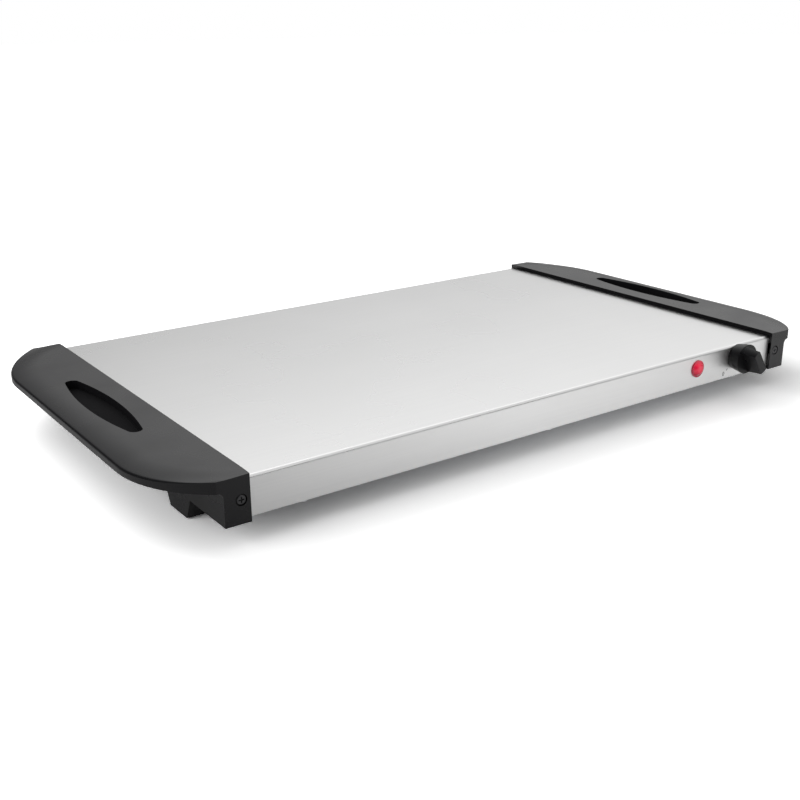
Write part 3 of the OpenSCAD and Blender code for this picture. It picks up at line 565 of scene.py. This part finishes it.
def recess_plan(grow, low, high):
    """The thumb recess: two wide arcs that meet in small round ends."""
    side_r = (recess_half_l ** 2 + recess_half_w ** 2) / (2 * recess_half_w)
    offset = side_r - recess_half_w
    lens, other = (rod((x, cap_mid_y, low), (x, cap_mid_y, high),
                       side_r + recess_end_r + grow, sides=720)
                   for x in (recess_x + offset, recess_x - offset))
    cut(lens, other, "INTERSECT")
    reach = recess_half_l + recess_end_r / 2
    cut(lens, block((recess_x - 30 * MM, cap_mid_y - reach, low - MM),
                    (recess_x + 30 * MM, cap_mid_y + reach, high + MM)), "INTERSECT")
    for side in (-1, 1):
        end = (recess_x, cap_mid_y + side * recess_half_l)
        cut(lens, rod((*end, low), (*end, high), recess_end_r + grow, sides=64), "UNION")
    return lens


def cap_block(low_x, high_x, half_y, low_z, high_z):
    """A block across the cap's middle."""
    return block((low_x, cap_mid_y - half_y, low_z), (high_x, cap_mid_y + half_y, high_z))


right_cap = handle_plan(0, cap_top - handle_t, cap_top)
right_cap.name = "right_handle_cap"
cut(right_cap, cap_block(cap_inner_x, end_wall_x, cap_half_y, leg_z, cap_top - skin), "UNION")
root = cap_block(end_wall_x - MM, end_wall_x + root_r, cap_half_y,
                 cap_top - handle_t - root_r, cap_top - handle_t + MM)
root_axis = (end_wall_x + root_r, cap_top - handle_t - root_r)
cut(root, pin(*root_axis, cap_mid_y - cap_half_y - MM, cap_mid_y + cap_half_y + MM, root_r))
cut(right_cap, root, "UNION")
for side in (-1, 1):
    foot_mid = cap_mid_y + side * foot_y
    foot = block((end_wall_x - foot_d, foot_mid - foot_half_w, foot_z),
                 (end_wall_x, foot_mid + foot_half_w, leg_z + MM))
    pick_faces(foot, lambda centre, normal: normal.z < -0.9)
    bpy.ops.transform.resize(value=(1, foot_taper, 1))
    done()
    cut(right_cap, foot, "UNION")
cut(right_cap, cap_block(cap_inner_x - MM, end_wall_x - end_wall_t, sleeve_half_y,
                         cover_low.z - sleeve_gap, cover_high.z + sleeve_gap))
cut(right_cap, cap_block(cap_inner_x - MM, end_wall_x - end_wall_t, leg_gap_half_y,
                         leg_z - MM, cover_low.z))
hollow = handle_plan(skin, cap_top - handle_t - MM, cap_top - skin)
cut(hollow, cap_block(cap_inner_x - MM, end_wall_x + root_r, 200 * MM, 0, 0.1))
cut(hollow, recess_plan(skin, cap_top - handle_t - 3 * MM, cap_top))
cut(right_cap, hollow)
cut(right_cap, recess_plan(0, cap_top - recess_depth, cap_top + 2 * MM))
for side in (-1, 1):
    face_y = cap_mid_y + side * cap_half_y
    for radius, depth in ((well_r, well_depth), (shank_hole_r, shank_hole_depth)):
        cut(right_cap, pin(cap_screw_x, cap_screw_z,
                           face_y + side * MM, face_y - side * depth, radius))
    pad = (end_wall_x - foot_d / 2, cap_mid_y + side * foot_y)
    cut(right_cap, rod((*pad, -MM), (*pad, pad_hole_z), pad_hole_r))
smooth(right_cap, edge_r, edge_angle=42)

black_dark, black_light = (0.004, 0.004, 0.0045), (0.008, 0.0078, 0.0088)
black_moulding = finish("black_moulding", black_dark, black_light, (0.24, 0.33),
                        (1500, 1500, 1500), patches=22.0, relief=0.08, shine=0.29)
recess_texture = finish("recess_texture", (0.005, 0.005, 0.0055), (0.011, 0.0108, 0.0118),
                        (0.78, 0.90), (900, 900, 900), patches=22.0, relief=0.6, shine=0.06)
coat(right_cap, black_moulding, recess_texture)
for face in right_cap.data.polygons:
    in_recess = abs(face.center.z - cap_top + recess_depth) < MM / 20 and face.normal.z > 0.9
    face.material_index = 1 if in_recess else 0


def mirrored_copy(piece):
    """A copy of a piece on the tray's other end, with fresh normals."""
    take(piece)
    bpy.ops.object.duplicate()
    twin = bpy.context.object
    twin.scale.x = -1
    settle(twin)
    twin.data.flip_normals()
    bpy.ops.mesh.customdata_custom_splitnormals_clear()
    smooth(twin)
    return twin


left_cap = mirrored_copy(right_cap)
left_cap.name = "left_handle_cap"
for cap, node in ((right_cap, "right_end_cap"), (left_cap, "left_end_cap")):
    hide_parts(node)
    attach(cap, "tray")


# ------------------------------------------------------------------ cap screws
# A blackened cross-recessed screw with a domed head sits in the well on each leg,
# front and back.
head_r = 3.4 * MM
head_h = 1.9 * MM
head_round = 0.9 * MM
head_sink = 2.0 * MM
screw_shank_r = 1.75 * MM
screw_l = 10 * MM
cross_half_l = 2.0 * MM
cross_half_w = 0.42 * MM
cross_floor = 1.3 * MM


def join(pieces, name):
    """Joins pieces into one, under a name."""
    bpy.ops.object.select_all(action="DESELECT")
    for piece in pieces:
        piece.select_set(True)
    bpy.context.view_layer.objects.active = pieces[0]
    bpy.ops.object.join()
    pieces[0].name = name
    return pieces[0]


screw_steel = finish("blackened_screws", (0.05, 0.05, 0.052), (0.09, 0.09, 0.093), (0.3, 0.42),
                     (900, 900, 900), patches=200.0, relief=0.1, metallic=1.0)
screws = []
for side in (-1, 1):
    face_y = cap_mid_y + side * cap_half_y
    seat_y = face_y - side * head_sink
    screw = pin(cap_screw_x, cap_screw_z, seat_y, seat_y + side * head_h, head_r)
    pick_faces(screw, lambda centre, normal: normal.y * side > 0.9)
    bpy.ops.mesh.bevel(offset=head_round, segments=5, affect="EDGES")
    done()
    cut(screw, pin(cap_screw_x, cap_screw_z, seat_y + side * 0.5 * MM, face_y - side * screw_l,
                   screw_shank_r, sides=24), "UNION")
    cross_y = (face_y - side * cross_floor, face_y + side * MM)
    for half_x, half_z in ((cross_half_l, cross_half_w), (cross_half_w, cross_half_l)):
        cut(screw, block((cap_screw_x - half_x, min(cross_y), cap_screw_z - half_z),
                         (cap_screw_x + half_x, max(cross_y), cap_screw_z + half_z)))
    smooth(screw)
    screws.append(screw)
screws += [mirrored_copy(screw) for screw in screws]
cap_screws = join(screws, "cap_screw_set")
coat(cap_screws, screw_steel)
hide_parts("cap_screws")
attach(cap_screws, "tray")


# ------------------------------------------------------------------ knob
# A black moulded knob: a round skirt that widens towards the user and a grip bar
# across it. It is pushed onto the thermostat's shaft.
knob_back_r = 10.5 * MM
knob_rim_r = 12.4 * MM
knob_skirt_l = 11.5 * MM
knob_len = wall_front_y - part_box("control_knob")[0].y
knob_gap = 0.6 * MM
knob_edge_r = 0.55 * MM
knob_tilt = math.radians(33)
grip_w = 7 * MM
grip_inset = 0.25 * MM
grip_end_r = 10.25 * MM
nut_pocket_r, nut_pocket_l = 7.5 * MM, 5 * MM
shaft_bore_r = 3.05 * MM
on_front = Matrix.Rotation(math.pi / 2, 4, "X")
knob_frame = (Matrix.Translation((shaft_mid.x, wall_front_y, shaft_mid.z))
              @ on_front @ Matrix.Rotation(knob_tilt, 4, "Z"))

knob = rod((0, 0, knob_gap), (0, 0, knob_skirt_l), knob_back_r, knob_rim_r, sides=128)
knob.name = "grip_knob"
grip = rod((0, 0, knob_skirt_l - MM), (0, 0, knob_len),
           knob_rim_r - grip_inset, grip_end_r, sides=128)
cut(grip, block((-grip_w / 2, -20 * MM, 0), (grip_w / 2, 20 * MM, 40 * MM)), "INTERSECT")
cut(knob, grip, "UNION")
cut(knob, rod((0, 0, -MM), (0, 0, nut_pocket_l), nut_pocket_r))
cut(knob, rod((0, 0, 4 * MM), (0, 0, knob_skirt_l - 0.2 * MM), shaft_bore_r))
smooth(knob, knob_edge_r, steps=4)
knob.matrix_world = knob_frame
settle(knob)
knob_black = finish("knob_black", black_dark, black_light, (0.26, 0.34),
                    (1200, 1200, 1200), patches=120.0, relief=0.05, shine=0.18)
coat(knob, knob_black)
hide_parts("control_knob")
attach(knob, "knob")


# ------------------------------------------------------------------ dial marks
# Plain numbers are printed in grey on the steel at the two ends of the knob's travel,
# with a short dash that points at the knob.
digit_size = 5.2 * MM
digit_bold = 0.06 * MM
digit_side = 14.2 * MM
digit_drop = 13.2 * MM
ink_t = 0.03 * MM
ink_lift = 0.02 * MM
dash_near, dash_far, dash_half_w = 13.2 * MM, 15.2 * MM, 0.35 * MM
ink = finish("grey_print", (0.10, 0.11, 0.11), (0.16, 0.17, 0.17), (0.5, 0.6),
             (1500, 1500, 1500), patches=300.0)
marks = []
for digit, side, dash_angle in (("0", -1, 225), ("6", 1, -45)):
    bpy.ops.object.select_all(action="DESELECT")
    bpy.ops.object.text_add()
    mark = bpy.context.object
    mark.data.body = digit
    mark.data.size = digit_size
    mark.data.align_x = "CENTER"
    mark.data.align_y = "CENTER"
    mark.data.extrude = ink_t
    mark.data.offset = digit_bold
    take(mark)
    bpy.ops.object.convert(target="MESH")
    mark = bpy.context.object
    mark.matrix_world = Matrix.Translation((
        shaft_mid.x + side * digit_side, wall_front_y - ink_lift, shaft_mid.z - digit_drop,
    )) @ on_front
    settle(mark)
    dash = block((dash_near, -dash_half_w, -ink_t), (dash_far, dash_half_w, ink_t))
    dash.matrix_world = (Matrix.Translation((shaft_mid.x, wall_front_y - ink_lift, shaft_mid.z))
                         @ on_front @ Matrix.Rotation(math.radians(dash_angle), 4, "Z"))
    settle(dash)
    marks += [mark, dash]
dial_marks = join(marks, "dial_marks")
coat(dial_marks, ink)
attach(dial_marks, "tray")


# ------------------------------------------------------------------ pilot lamp
# A clear red lens with a rim and a cut dome is pressed into the lamp's barrel, over
# a small glow bulb.
lens_r = 7.1 * MM
lens_rim = 0.9 * MM
lens_out = 3.3 * MM
lens_bore_r, lens_bore_l = 3.0 * MM, 1.5 * MM
lens_spigot_r, lens_spigot_l = 4.2 * MM, 3.8 * MM
dome_foot_r = lens_r - 1.1 * MM
dome_top_r = lens_r - 3.6 * MM
dome_facets = 16
dome_round = 0.9 * MM
lens_edge_r = 0.2 * MM
# The glow's middle sits glow_lift above the lens's axis, so the lens is darker towards its lower
# edge.
glow_lift = 1.8 * MM
glow_core = 1.5 * MM


def lens_rod(y_start, y_end, radius, end_radius=None, sides=48):
    """A rod on the lamp's axis."""
    return pin(lamp_mid.x, lamp_mid.z, y_start, y_end, radius, end_radius, sides)


lens = lens_rod(wall_front_y, wall_front_y - lens_rim, lens_r, sides=96)
lens.name = "lamp_lens_red"
dome = lens_rod(wall_front_y - lens_rim + 0.1 * MM, wall_front_y - lens_out,
                dome_foot_r, dome_top_r, dome_facets)
pick_faces(dome, lambda centre, normal: normal.y < -0.9)
bpy.ops.mesh.bevel(offset=dome_round, segments=2, affect="EDGES")
done()
cut(lens, dome, "UNION")
cut(lens, lens_rod(wall_front_y + lens_spigot_l, wall_front_y - 0.2 * MM, lens_spigot_r), "UNION")
cut(lens, lens_rod(wall_front_y + 5 * MM, wall_front_y - lens_bore_l, lens_bore_r))
smooth(lens, lens_edge_r, steps=2, angle=14, edge_angle=14)

lens_red = finish("red_lens", (0.50, 0.010, 0.045), (0.66, 0.02, 0.07), (0.06, 0.12),
                  (700, 700, 700), patches=150.0, relief=0.02)
tree = lens_red.node_tree
shader = tree.nodes["Principled BSDF"]
shader.inputs["Transmission Weight"].default_value = 0.45
shader.inputs["IOR"].default_value = 1.49
shader.inputs["Emission Strength"].default_value = 0.32
place = add(tree, "ShaderNodeTexCoord")
centred = add(tree, "ShaderNodeMapping")
centred.inputs["Location"].default_value = (-lamp_mid.x, -wall_front_y, -lamp_mid.z - glow_lift)
reach = add(tree, "ShaderNodeVectorMath", "LENGTH")
glow = add(tree, "ShaderNodeValToRGB")
glow.color_ramp.elements[0].color = (1.0, 0.10, 0.16, 1)
glow.color_ramp.elements[1].color = (0.10, 0.0, 0.012, 1)
glow.color_ramp.elements.new(0.55).color = (0.72, 0.012, 0.06, 1)
wire(tree,
     (place.outputs["Object"], centred.inputs["Vector"]),
     (centred.outputs["Vector"], reach.inputs[0]),
     (map_range(tree, reach.outputs["Value"], (glow_core, lens_r, 0, 1)), glow.inputs["Fac"]),
     (glow.outputs["Color"], shader.inputs["Emission Color"]))
coat(lens, lens_red)
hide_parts("lamp_lens")
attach(lens, "tray")


# ------------------------------------------------------------------ mains inlet
# A black three-pin appliance inlet goes through the back wall. Its flange has
# rounded corners and is held by two screws.
flange_half_x, flange_half_z, flange_t = 24 * MM, 11.25 * MM, 2.5 * MM
flange_corner_r = 3.5 * MM
body_half_x, body_half_z, body_l = 13.5 * MM, 9.9 * MM, 22 * MM
mouth_half_x, mouth_half_z, mouth_l = 12 * MM, 8.2 * MM, 13.5 * MM
mouth_corner = 4 * MM
slot_near, slot_far = 12 * MM, 23 * MM
inlet_edge_r = 0.35 * MM
# The slots' places and half sizes are in millimetres.
slot_half_x, slot_half_z = 1.1, 2.1
pin_places = ((-7, -2), (0, 2), (7, -2))

inlet = inlet_block(flange_half_x, flange_half_z, wall_back_y, wall_back_y + flange_t)
inlet.name = "inlet_housing"
pick_edges(inlet, lambda mid, along: abs(along.y) > 0.9)
bpy.ops.mesh.bevel(offset=flange_corner_r, segments=6, affect="EDGES")
done()
cut(inlet, inlet_block(body_half_x, body_half_z, wall_back_y - body_l, wall_back_y + MM), "UNION")
mouth = inlet_block(mouth_half_x, mouth_half_z, wall_back_y - mouth_l, wall_back_y + 4 * MM)
pick_edges(mouth, lambda mid, along: abs(along.y) > 0.9 and mid.z > inlet_mid.z)
bpy.ops.mesh.bevel(offset=mouth_corner, segments=1, affect="EDGES")
done()
cut(inlet, mouth)
for side in (-1, 1):
    cut(inlet, pin(inlet_mid.x + side * inlet_screw_reach, inlet_mid.z,
                   wall_back_y - MM, wall_back_y + 4 * MM, inlet_screw_r, sides=32))
for pin_x, pin_z in pin_places:
    cut(inlet, block((inlet_mid.x + (pin_x - slot_half_x) * MM, wall_back_y - slot_far,
                      inlet_mid.z + (pin_z - slot_half_z) * MM),
                     (inlet_mid.x + (pin_x + slot_half_x) * MM, wall_back_y - slot_near,
                      inlet_mid.z + (pin_z + slot_half_z) * MM)))
smooth(inlet, inlet_edge_r, steps=2)
inlet_black = finish("inlet_black", (0.012, 0.012, 0.012), (0.018, 0.018, 0.018), (0.28, 0.36),
                     (1000, 1000, 1000), patches=80.0, shine=0.35)
coat(inlet, inlet_black)
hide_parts("mains_inlet")
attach(inlet, "tray")


# ------------------------------------------------------------------ inner pieces
# The base plate, the feet's pads and all that lies inside keep their CAD shapes.
# Each kind of metal, plastic, felt and wire gets its own finish.
even = (900, 900, 900)
satin = (0.38, 0.48)
finishes = {
    "zinc_steel": finish("zinc_plate", (0.50, 0.51, 0.53), (0.62, 0.63, 0.64), (0.30, 0.45),
                         (260, 260, 260), patches=60.0, metallic=1.0),
    "black_rubber": finish("rubber_black", (0.014, 0.014, 0.014), (0.028, 0.028, 0.028),
                           (0.65, 0.8), (1600, 1600, 1600), relief=0.3),
    "aluminium_sheet": finish("rolled_aluminium", (0.66, 0.67, 0.68), (0.76, 0.77, 0.78),
                              (0.28, 0.40), (12, 900, 900), metallic=1.0),
    "aluminium_foil": finish("crinkled_foil", (0.72, 0.73, 0.74), (0.84, 0.85, 0.86), (0.18, 0.34),
                             (220, 220, 220), relief=0.6, metallic=1.0),
    "silicone_insulation": finish("red_silicone", (0.36, 0.05, 0.035), (0.46, 0.08, 0.055),
                                  (0.42, 0.55), even),
    "glass_felt": finish("needled_felt", (0.58, 0.54, 0.42), (0.78, 0.74, 0.60), (0.85, 0.95),
                         (700, 700, 180), relief=0.9, detail=5.0),
    "brass": finish("bright_brass", (0.66, 0.48, 0.20), (0.80, 0.62, 0.30), (0.22, 0.34),
                    (500, 500, 500), metallic=1.0),
    "ceramic": finish("glazed_ceramic", (0.78, 0.76, 0.70), (0.86, 0.84, 0.79), (0.20, 0.30),
                      (500, 500, 500)),
    "bimetal": finish("rolled_bimetal", (0.46, 0.38, 0.30), (0.58, 0.50, 0.42), (0.28, 0.38),
                      (30, 900, 900), metallic=1.0),
    "bulb_glass": finish("bulb_glass", (0.85, 0.62, 0.42), (0.95, 0.75, 0.55), (0.05, 0.10),
                         (300, 300, 300), relief=0.02),
    "ivory_plastic": finish("ivory_moulding", (0.70, 0.66, 0.56), (0.79, 0.76, 0.67),
                            (0.40, 0.50), even),
    "brown_wire": finish("brown_sleeve", (0.17, 0.07, 0.03), (0.23, 0.10, 0.05), satin, even),
    "black_wire": finish("black_sleeve", (0.02, 0.02, 0.02), (0.035, 0.035, 0.035), satin, even),
    "blue_wire": finish("blue_sleeve", (0.04, 0.13, 0.42), (0.07, 0.19, 0.54), satin, even),
    "green_wire": finish("green_sleeve", (0.12, 0.40, 0.06), (0.20, 0.52, 0.10), satin, even),
}
shader = finishes["bulb_glass"].node_tree.nodes["Principled BSDF"]
shader.inputs["Transmission Weight"].default_value = 0.8
replaced = {"top_cover", "left_end_cap", "right_end_cap", "cap_screws",
            "control_knob", "lamp_lens", "mains_inlet"}
for part in frame["record"]["subparts"]:
    if part["node"] not in replaced:
        coat(frame["nodes"][part["node"]], finishes[part["material_slot"]])
